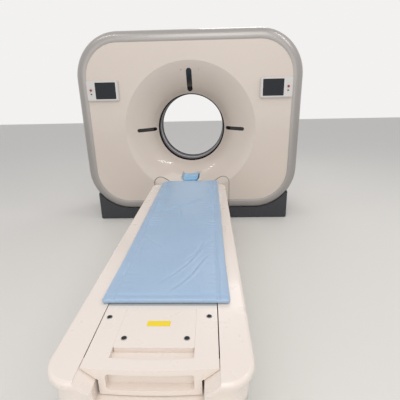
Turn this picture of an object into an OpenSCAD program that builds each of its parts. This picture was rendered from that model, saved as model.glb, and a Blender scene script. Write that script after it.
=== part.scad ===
// Whole-body X-ray scanner: a ring-shaped gantry with a rotating drum
// inside its covers, and a patient couch that lifts and slides into the bore.
// Millimetres, +Z up. X runs across the couch, +Y from the couch's foot end
// to the gantry. The origin is on the floor, under the middle of the machine.

/* [Gantry covers] */
// Width of the gantry over its side covers
gantry_w = 2300; // [2240:10:2400]
// Height of the gantry's top above the floor
gantry_top_z = 1968; // [1940:4:2040]
// Depth of the gantry, front cover to rear cover
gantry_depth = 840; // [830:5:900]
// Height of the covers' underside above the floor
shell_z0 = 120; // [116:2:130]
// Outer radius of the covers' rounded corners
shell_r = 452; // [430:2:470]
// Wall of the moulded covers
skin_t = 6; // [5:0.5:7]
// Width of the silver rim seen from the front
rim_w = 110; // [100:2:124]
// Radius of the rim's rounded nose
nose_r = 84; // [78:1:90]
// Depth of each rim, from the cover's face to the side cover's seam
rim_len = 210; // [190:5:225]
// Open seam between neighbouring covers
seam = 2; // [1:0.5:4]
// Chamfer on the edge of the white covers
edge_bevel = 4; // [2:0.5:5]
// Depth of the turned-in edge of the white covers
return_len = 18; // [12:1:26]

/* [Bore and dish] */
// Height of the bore's axis above the floor
iso_z = 1002; // [990:2:1014]
// Clear radius of the bore
bore_r = 360; // [350:1:362]
// How far the dark trim rings flare at the mouth of the bore
trim_flare = 10; // [6:1:14]
// Length of each dark trim ring
trim_len = 57; // [45:1:65]
// Radius of the crease where the dish meets the flat face
dish_r = 684; // [670:2:696]
// Depth of the dish, from the face to the bore's trim ring
dish_depth = 258; // [250:2:262]
// Radius of the dish's curved section
dish_arc_r = 546; // [500:2:620]
// Wall of the bore liner
liner_t = 6; // [4:0.5:7]
// Width of the X-ray window in the liner
scan_window_w = 50; // [30:2:60]

/* [Front cover insert] */
// Half width of the removable lower insert
insert_hw = 414; // [400:2:430]
// Height of the insert's middle edge
insert_z = 430; // [420:2:440]
// Height of the insert's two ears
ear_z = 496; // [480:2:505]
// Radius of the ears' outer corners
ear_r = 60; // [50:2:66]
// Half width of the insert's flat middle
ear_in_x = 200; // [170:5:230]

/* [Alignment windows] */
// Width of the upper window slot
slot_top_w = 56; // [46:2:60]
// Radius from the bore's axis at which the upper slot begins
slot_top_r0 = 390; // [385:1:400]
// Radius from the bore's axis at which the upper slot ends
slot_top_r1 = 613; // [590:1:640]
// Width of the two side slots
slot_side_w = 38; // [30:2:44]
// Radius from the bore's axis at which the side slots begin
slot_side_r0 = 385; // [384:1:395]
// Radius from the bore's axis at which the side slots end
slot_side_r1 = 570; // [550:1:590]

/* [Control panels] */
// Distance of each panel's middle inward from the gantry's side
panel_inset = 275; // [271:1:282]
// Height of the panels' middle
panel_z = 1413; // [1400:1:1425]
// Width of a panel housing
panel_w = 320; // [316:1:326]
// Height of a panel housing
panel_h = 195; // [190:1:205]
// How far a panel housing stands out from the cover
panel_t = 30; // [26:1:36]
// Width of the touch screen
screen_w = 208; // [200:1:212]
// Height of the touch screen
screen_h = 160; // [150:1:165]
// Distance of the screen's middle inward from the housing's middle
screen_dx = 32; // [28:1:36]
// Distance of the buttons' column outward from the housing's middle
button_dx = 115; // [113:1:120]
// Radius of the stop button's head
stop_r = 11; // [9:0.5:13]
// Radius of the stop button's stem
stop_stem_r = 6; // [5:0.5:7]
// Travel of the stop button
stop_travel = 4; // [3:0.5:5]
// Width of the small key under the stop button
key_w = 16; // [14:1:20]
// Height of the small key
key_h = 10; // [8:1:12]
// Travel of the small key
key_travel = 1.5; // [1:0.25:2]

/* [Plinth] */
// Setback of the plinth's ends inside the gantry's sides
plinth_inset = 76; // [60:2:90]
// Setback of the plinth behind the cover's face
plinth_setback = 25; // [22:1:28]
// Gap between the plinth and the floor
plinth_z0 = 6; // [4:1:10]
// Gap between the plinth and the covers above it
plinth_gap = 12; // [10:1:16]
// Distance of the plinth's front seams inward from the covers' round corners
plinth_seam_dx = 9; // [1:1:38]

/* [Base frame and stator] */
// Height of the base frame's beams above the floor
base_z0 = 30; // [26:1:40]
// Height of the base frame's beams
beam_h = 76; // [66:1:78]
// Width of the base frame's beams
beam_w = 84; // [70:2:90]
// Wall of the base frame's hollow beams
beam_t = 8; // [6:0.5:10]
// Distance between the anchor holes across the gantry
anchor_dx = 1500; // [1440:10:1560]
// Distance between the anchor holes along the bore
anchor_dy = 560; // [520:10:570]
// Radius of the anchor holes
anchor_r = 10; // [8:0.5:12]
// Radius of the levelling feet
foot_r = 45; // [38:1:50]
// Thickness of the stator's ring
stator_t = 55; // [50:1:58]
// Outer radius of the stator's ring
stator_r = 630; // [620:2:650]
// Width of each stator leg
leg_w = 140; // [120:5:150]
// Width of the rails that carry the covers
cover_rail_w = 40; // [36:1:44]

/* [Rotating drum] */
// Inner radius of the drum
drum_r = 385; // [384:1:388]
// Radius of the drum's belt rim
rotor_r = 790; // [786:1:800]
// Thickness of the drum's plate
drum_t = 25; // [20:1:28]
// Length of the drum's hub
hub_len = 65; // [63:1:66]
// Thickness of the hub
hub_t = 30; // [28:1:31]
// Thickness of each bearing race
race_t = 20; // [18:1:22]
// Radius of the bearing's balls
ball_r = 10; // [9:0.5:11]
// Number of balls in the bearing
ball_count = 36; // [24:2:44]
// Radius of the X-ray tube's housing
tube_r = 100; // [85:1:105]
// Length of the X-ray tube's housing
tube_len = 190; // [170:5:200]
// Distance of the focal spot from the axis of the bore
focus_r = 610; // [600:2:630]
// Half width of the X-ray fan, in degrees
fan_half = 26; // [22:0.5:28]
// Distance of the detector from the focal spot
detector_d = 1080; // [1060:2:1100]
// Thickness of the detector
detector_t = 70; // [55:1:80]
// Width of the detector along the bore
detector_w = 140; // [110:2:150]
// Number of detector modules side by side
module_count = 26; // [16:1:34]
// Radial size of the generator and of the power unit
box_r = 270; // [240:5:275]
// Height of the generator and of the power unit
box_h = 360; // [300:10:380]
// Depth of the generator and of the power unit
box_t = 190; // [150:5:200]
// Width of the cooler and of the counterweight
cooler_w = 220; // [180:5:230]
// Depth of the cooler and of the counterweight
cooler_t = 170; // [140:5:200]
// Outer radius of the slip ring
slip_r = 560; // [550:2:570]
// Thickness of the slip ring
slip_t = 14; // [10:1:16]
// Number of tracks on the slip ring
track_count = 5; // [3:1:6]

/* [Belt drive] */
// Radius of the drive pulley
pulley_r = 60; // [50:1:70]
// Place of the drive pulley sideways from the bore's axis
pulley_x = 600; // [590:2:604]
// Place of the drive pulley down from the bore's axis
pulley_drop = 742; // [730:2:750]
// Thickness of the belt
belt_t = 5; // [4:0.5:6]
// Radius of the drive motor
motor_r = 82; // [70:1:88]
// Length of the drive motor
motor_len = 210; // [180:5:230]

/* [Couch] */
// Distance from the gantry's face to the couch's foot end
couch_reach = 2660; // [2610:10:2710]
// Height of the couch's side rails at the lowest position
table_z = 545; // [544:0.5:548]
// Width of each side rail's top
rail_w = 115; // [105:1:120]
// Height of the side rails
rail_h = 45; // [40:1:45]
// Height of the lip along the rails' outer edge
lip_h = 24; // [20:1:28]
// Radius of the rounded top of the lip
lip_r = 14; // [10:1:17]
// Setback of the couch's body under the rails' lip
body_inset = 18; // [14:1:20]
// Radius of the rails' foot corners in plan
foot_corner_r = 108; // [90:1:112]
// Radius of the rails' head corners in plan
head_corner_r = 50; // [40:1:60]
// Distance from the foot end to the rails' head end
rail_len = 2205; // [2170:5:2215]
// Running gap between moving pieces
run_gap = 4; // [3:0.5:5]
// Gap that seats one piece on another
seat = 0.3; // [0.3:0.05:0.4]

/* [Cradle and mattress] */
// Width of the sliding cradle
cradle_w = 452; // [446:1:456]
// Thickness of the cradle's edge
cradle_edge_t = 17; // [15:0.5:18]
// Thickness of the cradle's middle
cradle_mid_t = 46; // [38:1:54]
// Distance from the couch's foot end to the carriage's nose
nose_setback = 50; // [40:1:60]
// Radius of the nose's shallow arc in plan
nose_arc_r = 2200; // [1500:50:3000]
// Length of the cradle's carriage at the foot end
carriage_len = 325; // [315:1:335]
// Distance from the nose to the cradle's head end
cradle_len = 2205; // [2190:5:2240]
// Width of the mattress
mattress_w = 544; // [520:2:560]
// Thickness of the mattress
mattress_t = 22; // [18:1:30]
// How far the mattress lies over the cradle's head end
mattress_overhang = 11; // [5:1:15]
// Sideways place of the mattress, which lies off centre
mattress_x = 13; // [8:1:16]
// Width of the head holder
holder_w = 200; // [180:5:220]
// Length of the head holder
holder_len = 262; // [250:2:270]
// Thickness of the head pad
pad_t = 62; // [50:1:66]
// Half width of the carriage's nose
nose_hw = 170; // [160:2:176]
// Half width of the finger recess in the nose
grip_hw = 145; // [130:1:150]
// Half width of the access recess behind the nose
access_hw = 143; // [130:1:150]
// Length of the access recess
access_len = 256; // [240:2:262]
// Depth of the access recess
access_depth = 20; // [14:1:21]

/* [Couch column] */
// Distance between neighbouring shroud walls
shroud_step = 13; // [11:0.5:14]
// Wall of the shrouds
shroud_t = 4; // [3:0.5:5]
// Length of the lower shroud
shroud_len = 1900; // [1840:10:1960]
// Outer width of the lifting columns' sleeves
sleeve_w = 150; // [140:2:160]
// Wall of the columns' tubes
column_t = 8; // [7:0.5:9]
// Distance between the two lifting columns
column_dy = 900; // [860:10:940]
// Distance between the couch's anchor holes across the couch
couch_anchor_dx = 340; // [320:5:350]
// Distance between the couch's anchor holes along the couch
couch_anchor_dy = 1260; // [1220:10:1290]
// Radius of the couch's anchor holes
couch_anchor_r = 8; // [7:0.5:9]

/* [Hidden] */
$fn = 96;
// Facets of small and large circles, of the cradle's belly and of the balls
small_fn = 48;
large_fn = 180;
belly_fn = 240;
ball_fn = 32;
// How far a cutter reaches past the surface it cuts
past = 1;

// Colours as in the photograph
white = [0.93, 0.90, 0.86];
silver = [0.66, 0.63, 0.60];
dark = [0.22, 0.22, 0.24];
black = [0.07, 0.07, 0.08];
grey = [0.55, 0.56, 0.58];
steel = [0.62, 0.64, 0.66];
blue = [0.62, 0.73, 0.82];

// Places along Y: the machine's middle is the origin
total_len = gantry_depth + couch_reach;
front_y = total_len / 2 - gantry_depth;
rear_y = total_len / 2;
foot_y = -total_len / 2;
scan_y = (front_y + rear_y) / 2;

// Centres of the covers' rounded corners, and radii about them
corner_x = gantry_w / 2 - shell_r;
corner_z0 = shell_z0 + shell_r;
corner_z1 = gantry_top_z - shell_r;
face_u = shell_r - rim_w;
plinth_face_u = shell_r - nose_r + sqrt(pow(nose_r, 2) - pow(nose_r - plinth_setback, 2));
edge_u = face_u - seat;
lip_u = shell_r - 2 * skin_t - seat;
lip_len = 26;

// The dish's curved section is one arc from the crease to the bore
throat_r = bore_r + trim_flare;
dish_in = dish_r - throat_r;
dish_chord = norm([dish_in, dish_depth]);
dish_rise = sqrt(pow(dish_arc_r, 2) - pow(dish_chord / 2, 2));
dish_c_r = dish_r - dish_in / 2 + dish_rise * dish_depth / dish_chord;
dish_c_y = dish_depth / 2 + dish_rise * dish_in / dish_chord;
liner_y0 = front_y + dish_depth + trim_len;
liner_y1 = rear_y - dish_depth - trim_len;

// Plinth and base frame
plinth_w = gantry_w - 2 * plinth_inset;
plinth_d = gantry_depth - 2 * plinth_setback;
plinth_r = 30;
plinth_seam_x = corner_x - plinth_seam_dx;
beam_z1 = base_z0 + beam_h;
base_y0 = front_y + plinth_setback + skin_t + seat;
base_y1 = rear_y - plinth_setback - skin_t - seat;
base_hw = plinth_w / 2 - skin_t - seat;
base_corner_r = plinth_r - skin_t;
foot_dy = max(beam_w / 2, foot_r);
foot_pad_t = 12;
foot_stem_r = 14;
anchor_pad_w = 110;
anchor_pad_t = 16;

// Drum, bearing and stator, from the drum's plate backwards
detector_foot_t = 10;
drum_stator_gap = 5;
drum_y = scan_y + detector_w / 2 + detector_foot_t;
hub_y = drum_y + drum_t;
hub_r = drum_r + hub_t;
stator_y = hub_y + drum_stator_gap;
slip_y = hub_y + hub_len;
slip_lap = 10;
ball_gap = 12;
race_r = hub_r + race_t;
outer_race_r = race_r + ball_gap;
stator_in_r = outer_race_r + race_t + seat;
pitch_r = race_r + ball_gap / 2;
groove_gap = 0.5;
stator_mid_y = stator_y + stator_t / 2;
rim_band_w = 20;
ring_holes = 12;

// Pieces on the drum
tube_cap = 12;
tube_groove = 5;
collimator_rise = 20;
collimator_wall = 14;
box_gap = 35;
cooler_gap = 23;
fin_depth = 14;
fin_gap = 8;

// Belt drive
pulley_z = iso_z - pulley_drop;
belt_gap = 0.4;
flange_t = 3;
flange_h = 6;
flange_gap = 1;
pulley_y0 = drum_y - flange_gap - flange_t;
motor_gap = 3;
motor_y1 = pulley_y0 - motor_gap;
motor_foot_inset = 42;
shaft_r = 15;
shaft_len = 45;
shaft_gap = 0.5;

// Legs of the stator and the rails that carry the covers
leg_lap = 47;
leg_mid_x = stator_in_r + leg_w / 2 - leg_lap;
cover_rail_x = corner_x + lip_u - seat - cover_rail_w;
cover_rail_z = corner_z1 + lip_u - seat - cover_rail_w;
cover_rail_y0 = front_y + nose_r + skin_t;
cover_rail_len = gantry_depth - 2 * (nose_r + skin_t);

// Slip ring tracks and their brushes
track_depth = 3;
track_pitch = (slip_r - pitch_r) / (track_count + 1);
track_w = 0.6 * track_pitch;
function track_r(i) = pitch_r + track_pitch * (i + 1);
brush_h = 20;
brush_gap = 0.5;

// Control panels
panel_x = gantry_w / 2 - panel_inset;
panel_r = 16;
screen_r = 6;
key_r = 3;
button_x = panel_x + button_dx;
stop_dz = 8;
key_drop = 38;
stop_z = panel_z + stop_dz;
key_z = stop_z - key_drop;
screen_t = 5;
key_pocket = 6;
stop_bore_len = 22;

// Couch: rails and body
couch_w = cradle_w + 2 * (run_gap + rail_w);
rail_x0 = cradle_w / 2 + run_gap;
rail_t = 8;
rail_foot_r = min(foot_corner_r, rail_w - seat);
frame_z1 = table_z - rail_h;
body_hw = couch_w / 2 - body_inset;
body_len = shroud_len + 4 * shroud_step;
body_corner_r = rail_foot_r - body_inset;
shroud_mid_y = foot_y + body_inset + body_len / 2;
foot_cover_len = 165;
channel_hw = nose_hw + 2 * run_gap;
facet_x = rail_x0 - (rail_h - lip_h) * (rail_x0 - channel_hw) / (rail_h - run_gap);

// Couch: frame and column, from the nose downwards
nose_h = 105;
nose_z0 = table_z - nose_h;
plate_z1 = nose_z0 - run_gap;
plate_t = 12;
plate_z0 = plate_z1 - plate_t;
couch_base_t = 12;
bar_t = 12;
bar_w = 115;
bar_z0 = plate_z0 - 2 * bar_t - run_gap;
shroud_h = bar_z0 - run_gap - couch_base_t;
slide_gap = 0.5;
column_r = 8;
sleeve_flange = 30;
frame_y0 = foot_y + foot_cover_len;
frame_setback = 30;
frame_y1 = foot_y + rail_len - frame_setback;
frame_hw = body_hw - shroud_t - seat;
beam_in = channel_hw + run_gap;
bracket_h = 30;
bracket_len = 60;
bracket_inset = 20;
bracket_reach = 42;
cross_len = 70;
cross_pitch = 380;
cross_inset = 120;
cross_drop = 10;
guide_w = 20;
guide_h = 8;
guide_inset = 6;
guide_x = cradle_w / 2 - guide_inset - guide_w;

// Outer width of a column's square tube number n, and its clear width
function tube_w(n) = sleeve_w - 2 * n * (column_t + slide_gap);
function tube_in(n) = tube_w(n) - 2 * column_t;

// Carriage, cradle and recesses
nose_y = foot_y + nose_setback;
nose_t = 35;
carriage_t = 42;
carriage_y1 = nose_y + carriage_len;
grip_wall = 4;
grip_rise = 21;
grip_h = 64;
grip_r = 12;
access_margin = 25;
access_arc_r = 1100;
access_y0 = carriage_y1 - access_margin - access_len;
finger_gap = 54;
lid_r = 6;
lid_wall = 4;
blocks = 3;
block_len = 90;
block_inset = 40;
block_pitch = 310;
block_wall = 6;
block_lift = 2;

// Mattress, head holder and head pad
mattress_len = cradle_len - carriage_len + mattress_overhang;
mattress_corner_r = 18;
mattress_clip = 60;
head_x = 12;
head_rise = 95;
head_z = table_z + head_rise;
holder_t = 6;
holder_top = -40;
holder_gap = 1;
holder_y0 = carriage_y1 + mattress_len + holder_gap;
holder_bracket_len = 60;
pad_inset = 4;
pad_short = 24;
hollow_r = 240;
hollow_depth = 20;

// Everything on the gantry's left is the mirror image of its right
module left() mirror([1, 0, 0]) children();

// Mirrors a piece of the front to the rear
module rearward() translate([0, front_y + rear_y, 0]) mirror([0, 1, 0]) children();

// Local Z along the bore, from depth y backwards; local Y points down
module about_bore(y) translate([0, y, iso_z]) rotate([-90, 0, 0]) children();

// Local Z along the bore at place (x, z)
module along_y(x, y, z) translate([x, y, z]) rotate([-90, 0, 0]) children();

// Extrudes a shape drawn in X and Z from depth y back to y + t
module slab(y, t) translate([0, y + t, 0]) rotate([90, 0, 0]) linear_extrude(t) children();

module tube(r_in, r_out, len) difference() {
    cylinder(r = r_out, h = len);
    translate([0, 0, -past]) cylinder(r = r_in, h = len + 2 * past);
}

// A rectangle with round corners, about the origin
module round_rect(w, h, r) {
    square([w - 2 * r, h], center = true);
    square([w, h - 2 * r], center = true);
    for (x = [-1, 1], z = [-1, 1])
        translate([x * (w / 2 - r), z * (h / 2 - r)]) circle(r, $fn = small_fn);
}

// The gantry's outline at distance u from its corner centres
module gantry_outline(u) {
    translate([0, (corner_z0 + corner_z1) / 2])
        round_rect(2 * (corner_x + u), corner_z1 - corner_z0 + 2 * u, u);
}

// Corner k of the gantry: 0 lower right, 1 upper right, 2 upper left,
// 3 lower left. Local X points outward and local Y backwards.
module at_corner(k)
    translate([k < 2 ? corner_x : -corner_x, front_y, k % 3 == 0 ? corner_z0 : corner_z1])
        rotate([0, -90 * k, 0]) children();

// Sweeps a section (x outward from the corner centres, y depth) round the
// corners listed, and along the straight stretch that follows each side listed
module sweep_round(corners, sides) {
    for (k = corners)
        at_corner(k) rotate([-90, 0, 0]) rotate_extrude(angle = 90) children();
    for (k = sides)
        at_corner(k) linear_extrude(k % 2 == 0 ? corner_z1 - corner_z0 : 2 * corner_x)
            children();
}

// The dish's wall as a section: x radius, y depth behind the face
module dish_section() intersection() {
    translate([dish_c_r, dish_c_y]) difference() {
        circle(dish_arc_r);
        circle(dish_arc_r - skin_t);
    }
    translate([throat_r, 0]) square([dish_in, dish_depth]);
}

// White cover: flat face, curved dish and turned-in, chamfered edge
module cover() {
    difference() {
        slab(front_y, skin_t) gantry_outline(edge_u - return_len);
        about_bore(front_y - past) cylinder(r = dish_r, h = skin_t + 2 * past);
    }
    about_bore(front_y) rotate_extrude() dish_section();
    sweep_round([0:3], [0:3]) polygon([
        [edge_u - 2 * return_len, 0],
        [edge_u - edge_bevel, 0],
        [edge_u, edge_bevel],
        [edge_u, return_len],
        [edge_u - skin_t, return_len],
        [edge_u - skin_t, skin_t],
        [edge_u - 2 * return_len, skin_t]
    ]);
}

// Right half of the insert's outline; its ear falls inward in an S-curve
module insert_half(gap) {
    steps = 14;
    ear_x = insert_hw - ear_r;
    polygon(concat(
        [[0, 0], [insert_hw - gap, 0], [insert_hw - gap, ear_z - ear_r], [ear_x, ear_z - gap]],
        [for (i = [1:steps])
            let (x = ear_x - (ear_x - ear_in_x) * i / steps)
            [x, insert_z - gap + (ear_z - insert_z) * (1 + cos(180 * i / steps)) / 2]],
        [[0, insert_z - gap]]
    ));
    translate([ear_x, ear_z - ear_r]) circle(ear_r - gap);
}

module insert_outline(gap) {
    insert_half(gap);
    mirror([1, 0]) insert_half(gap);
}

// Outline of one slot with round ends, from radius r0 to r1 along X
module slot_outline(w, r0, r1) {
    translate([r0 + w / 2, -w / 2]) square([r1 - r0 - w, w]);
    for (r = [r0 + w / 2, r1 - w / 2]) translate([r, 0]) circle(w / 2, $fn = small_fn);
}

// The three alignment slots about the bore, narrower by gap all round
module slot_outlines(gap) translate([0, iso_z]) {
    for (a = [0, 180])
        rotate(a) slot_outline(slot_side_w - 2 * gap, slot_side_r0 + gap, slot_side_r1 - gap);
    rotate(90) slot_outline(slot_top_w - 2 * gap, slot_top_r0 + gap, slot_top_r1 - gap);
}

module front_cover() color(white) difference() {
    cover();
    slab(front_y - past, dish_depth) insert_outline(0);
    slab(front_y - past, dish_depth) slot_outlines(0);
}

module front_cover_insert() color(white) intersection() {
    cover();
    slab(front_y - past, dish_depth) insert_outline(seam);
}

module laser_windows() color(black) intersection() {
    about_bore(front_y) rotate_extrude() dish_section();
    slab(front_y - past, dish_depth) slot_outlines(seat);
}

module rear_cover() color(white) rearward() cover();

// Silver rim: rounded nose, side wall and a lip under the side covers
module rim_section() {
    intersection() {
        translate([shell_r - nose_r, nose_r]) difference() {
            circle(nose_r);
            circle(nose_r - skin_t);
        }
        translate([face_u, 0]) square([rim_w, nose_r]);
    }
    translate([shell_r - skin_t, nose_r]) square([skin_t, rim_len - nose_r]);
    translate([lip_u, rim_len - skin_t]) square([shell_r - lip_u, skin_t]);
    translate([lip_u, rim_len - skin_t]) square([skin_t, lip_len + skin_t]);
}

module front_rim() color(silver) sweep_round([0:3], [0:3]) rim_section();

module rear_rim() color(silver) rearward() sweep_round([0:3], [0:3]) rim_section();

// Wall of a middle cover between the two rims
module middle_section()
    translate([shell_r - skin_t, rim_len + seam])
        square([skin_t, gantry_depth - 2 * (rim_len + seam)]);

module side_cover_right() color(white) sweep_round([0, 1], [0]) middle_section();

module side_cover_left() color(white) left() side_cover_right();

// Top cover with two fields of air slots over the drum
module top_cover() color(white) {
    vent_w = 12;
    vent_len = 190;
    vent_pitch = 26;
    vents = 16;
    difference() {
        intersection() {
            sweep_round([], [1]) middle_section();
            translate([seam - corner_x, front_y, corner_z1])
                cube([2 * (corner_x - seam), gantry_depth, shell_r]);
        }
        for (side = [-1, 1], i = [0:vents - 1])
            translate([side * corner_x / 2 + (i - (vents - 1) / 2) * vent_pitch, scan_y,
                       gantry_top_z - skin_t - past])
                linear_extrude(skin_t + 2 * past)
                    rotate(90) slot_outline(vent_w, -vent_len / 2, vent_len / 2);
    }
}

// Plan of the plinth's skin, with rounded vertical corners
module plinth_plan() difference() {
    round_rect(plinth_w, plinth_d, plinth_r);
    round_rect(plinth_w - 2 * skin_t, plinth_d - 2 * skin_t, plinth_r - skin_t);
}

// The plinth's skin, cut to clear the underside of the covers and their rims
module plinth_skin() difference() {
    translate([0, scan_y, plinth_z0]) linear_extrude(corner_z0 - plinth_z0) plinth_plan();
    slab(front_y, gantry_depth) gantry_outline(plinth_face_u + plinth_gap);
    slab(front_y + plinth_setback + skin_t, gantry_depth - 2 * (plinth_setback + skin_t))
        gantry_outline(shell_r + plinth_gap);
}

// Keeps the part of the plinth between two places on X
module plinth_piece(x0, x1, y0, y1) color(dark) intersection() {
    plinth_skin();
    translate([x0, y0, 0]) cube([x1 - x0, y1 - y0, gantry_top_z]);
}

module plinth_front()
    plinth_piece(seam / 2 - plinth_seam_x, plinth_seam_x - seam / 2, front_y, scan_y);

module plinth_rear()
    plinth_piece(seam / 2 - plinth_seam_x, plinth_seam_x - seam / 2, scan_y, rear_y);

module plinth_right()
    plinth_piece(plinth_seam_x + seam / 2, gantry_w / 2, front_y, rear_y);

module plinth_left() left() plinth_right();

// Dark ring that leads from the dish into the bore
module trim_section() {
    polygon([
        [throat_r, seat],
        [throat_r + trim_flare, seat],
        [throat_r + trim_flare, skin_t],
        [bore_r + liner_t, trim_flare + skin_t],
        [bore_r + liner_t, trim_len],
        [bore_r, trim_len],
        [bore_r, trim_flare]
    ]);
}

module bore_trim_front() color(black)
    about_bore(front_y + dish_depth) rotate_extrude() trim_section();

module bore_trim_rear() color(black) rearward() bore_trim_front();

// Grey liner tubes, one each side of the X-ray window
module bore_liner() color(grey) {
    len = (liner_y1 - liner_y0 - scan_window_w) / 2 - 2 * seat;
    about_bore(liner_y0 + seat) tube(bore_r, bore_r + liner_t, len);
    about_bore(liner_y1 - seat - len) tube(bore_r, bore_r + liner_t, len);
}

module scan_window() color(silver) {
    film_inset = 1;
    about_bore(scan_y - scan_window_w / 2)
        tube(bore_r + film_inset, bore_r + liner_t - film_inset, scan_window_w);
}

// Housing of one control panel, with a pocket for the screen, a bore for the
// stop button's stem and a pocket for the small key
module panel_housing_right() color(silver) {
    chamfer = 7;
    difference() {
        union() {
            slab(front_y - panel_t + chamfer, panel_t - chamfer) translate([panel_x, panel_z])
                round_rect(panel_w, panel_h, panel_r);
            slab(front_y - panel_t, chamfer) translate([panel_x, panel_z])
                round_rect(panel_w - 2 * chamfer, panel_h - 2 * chamfer, panel_r - chamfer / 2);
        }
        slab(front_y - panel_t - past, screen_t + seat + past) screen_outline(seat);
        along_y(button_x, front_y - panel_t - past, stop_z)
            cylinder(r = stop_stem_r + seat, h = stop_bore_len + past);
        slab(front_y - panel_t - past, key_pocket + past) key_outline(seat);
    }
}

module panel_housing_left() left() panel_housing_right();

module screen_outline(gap) translate([panel_x - screen_dx, panel_z])
    round_rect(screen_w + 2 * gap, screen_h + 2 * gap, screen_r);

module key_outline(gap) translate([button_x, key_z])
    round_rect(key_w + 2 * gap, key_h + 2 * gap, key_r);

module touch_screen_right() color([0.16, 0.18, 0.22])
    slab(front_y - panel_t, screen_t) screen_outline(0);

module touch_screen_left() left() touch_screen_right();

// Mushroom button: domed head on a stem that slides in the housing
module stop_button_right() color("firebrick") {
    head_t = 9;
    dome_r = 2 * stop_r;
    y0 = front_y - panel_t - stop_travel - seat - head_t;
    along_y(button_x, y0, stop_z) {
        rotate_extrude() intersection() {
            translate([0, dome_r]) circle(dome_r);
            square([stop_r, head_t]);
        }
        cylinder(r = stop_stem_r, h = head_t + stop_bore_len - seat);
    }
}

module stop_button_left() left() stop_button_right();

module panel_key_right() color(dark)
    slab(front_y - panel_t - 2 * key_travel, key_pocket + key_travel - seat) key_outline(0);

module panel_key_left() left() panel_key_right();

// Welded frame of channel beams on levelling feet, with anchor pads
module base_frame() color(grey) {
    difference() {
        base_beams(0);
        translate([0, 0, -beam_t]) base_beams(beam_t);
    }
    for (x = [-1, 1]) {
        for (foot_x = [anchor_dx / 2, leg_mid_x], y = [base_y0 + foot_dy, base_y1 - foot_dy])
            translate([x * foot_x, y, 0]) levelling_foot();
        for (y = [-1, 1]) anchor_pad(x, y);
    }
}

// The frame's beams, each side drawn in by t, with rounded corners in plan
module base_beams(t) translate([0, 0, base_z0]) intersection() {
    union() {
        for (y = [base_y0, stator_mid_y - beam_w / 2, base_y1 - beam_w])
            translate([t - base_hw, y + t, 0]) cube([2 * (base_hw - t), beam_w - 2 * t, beam_h]);
        for (x = [-base_hw, -leg_mid_x - beam_w / 2, leg_mid_x - beam_w / 2, base_hw - beam_w])
            translate([x + t, base_y0 + t, 0])
                cube([beam_w - 2 * t, base_y1 - base_y0 - 2 * t, beam_h]);
    }
    translate([0, scan_y, 0]) linear_extrude(beam_h)
        round_rect(2 * (base_hw - t), base_y1 - base_y0 - 2 * t, base_corner_r - t);
}

module levelling_foot() {
    cylinder(r = foot_r, h = foot_pad_t);
    cylinder(r = foot_stem_r, h = beam_z1 - beam_t / 2);
}

// Drilled pad welded inside a cross beam, for one floor anchor
module anchor_pad(sx, sy) {
    y_beam = sy < 0 ? base_y0 + beam_w : base_y1 - beam_w;
    y_hole = scan_y + sy * anchor_dy / 2;
    y_tip = y_hole - sy * anchor_pad_w / 2;
    difference() {
        translate([sx * anchor_dx / 2 - anchor_pad_w / 2, min(y_beam, y_tip), base_z0])
            cube([anchor_pad_w, abs(y_tip - y_beam), anchor_pad_t]);
        translate([sx * anchor_dx / 2, y_hole, base_z0 - past])
            cylinder(r = anchor_r, h = anchor_pad_t + 2 * past);
    }
}

// Fixed ring that carries the drum's bearing, on two legs, with the arms and
// rails that the covers hang on
module stator_frame() color(steel) {
    hole_r = 28;
    sole_t = 18;
    arm_h = 60;
    difference() {
        union() {
            about_bore(stator_y) cylinder(r = stator_r, h = stator_t);
            translate([-cover_rail_x, stator_y, iso_z - arm_h / 2])
                cube([2 * cover_rail_x, stator_t, arm_h]);
            for (x = [-1, 1]) {
                translate([x * leg_mid_x - leg_w / 2, stator_y, beam_z1])
                    cube([leg_w, stator_t, iso_z - beam_z1]);
                translate([x * leg_mid_x - arm_h / 2, stator_y, iso_z])
                    cube([arm_h, stator_t, cover_rail_z - iso_z]);
            }
        }
        about_bore(stator_y - past) cylinder(r = stator_in_r, h = stator_t + 2 * past);
        for (a = [0:ring_holes - 1]) about_bore(stator_y - past)
            rotate(360 * (a + 0.5) / ring_holes) translate([(stator_in_r + stator_r) / 2, 0, 0])
                cylinder(r = hole_r, h = stator_t + 2 * past);
    }
    for (x = [-1, 1]) {
        translate([x * leg_mid_x - leg_w / 2 - sole_t, stator_mid_y - beam_w / 2, beam_z1])
            cube([leg_w + 2 * sole_t, beam_w, sole_t]);
        translate([x * (cover_rail_x + cover_rail_w / 2) - cover_rail_w / 2,
                   cover_rail_y0, iso_z - arm_h / 2])
            cube([cover_rail_w, cover_rail_len, arm_h]);
        translate([x * leg_mid_x - arm_h / 2, cover_rail_y0, cover_rail_z])
            cube([arm_h, cover_rail_len, cover_rail_w]);
    }
}

// One race of the drum's bearing, with a groove for the balls
module race(r_in, r_out) about_bore(stator_y) difference() {
    tube(r_in, r_out, stator_t);
    translate([0, 0, stator_t / 2]) rotate_extrude()
        translate([pitch_r, 0]) circle(ball_r + groove_gap, $fn = small_fn);
}

module bearing_outer_race() color(steel) race(outer_race_r, outer_race_r + race_t);

module bearing_inner_race() color(steel) {
    race(hub_r, race_r);
    for (i = [0:ball_count - 1]) about_bore(stator_mid_y)
        rotate(360 * i / ball_count) translate([pitch_r, 0, 0]) sphere(ball_r, $fn = ball_fn);
}

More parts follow.
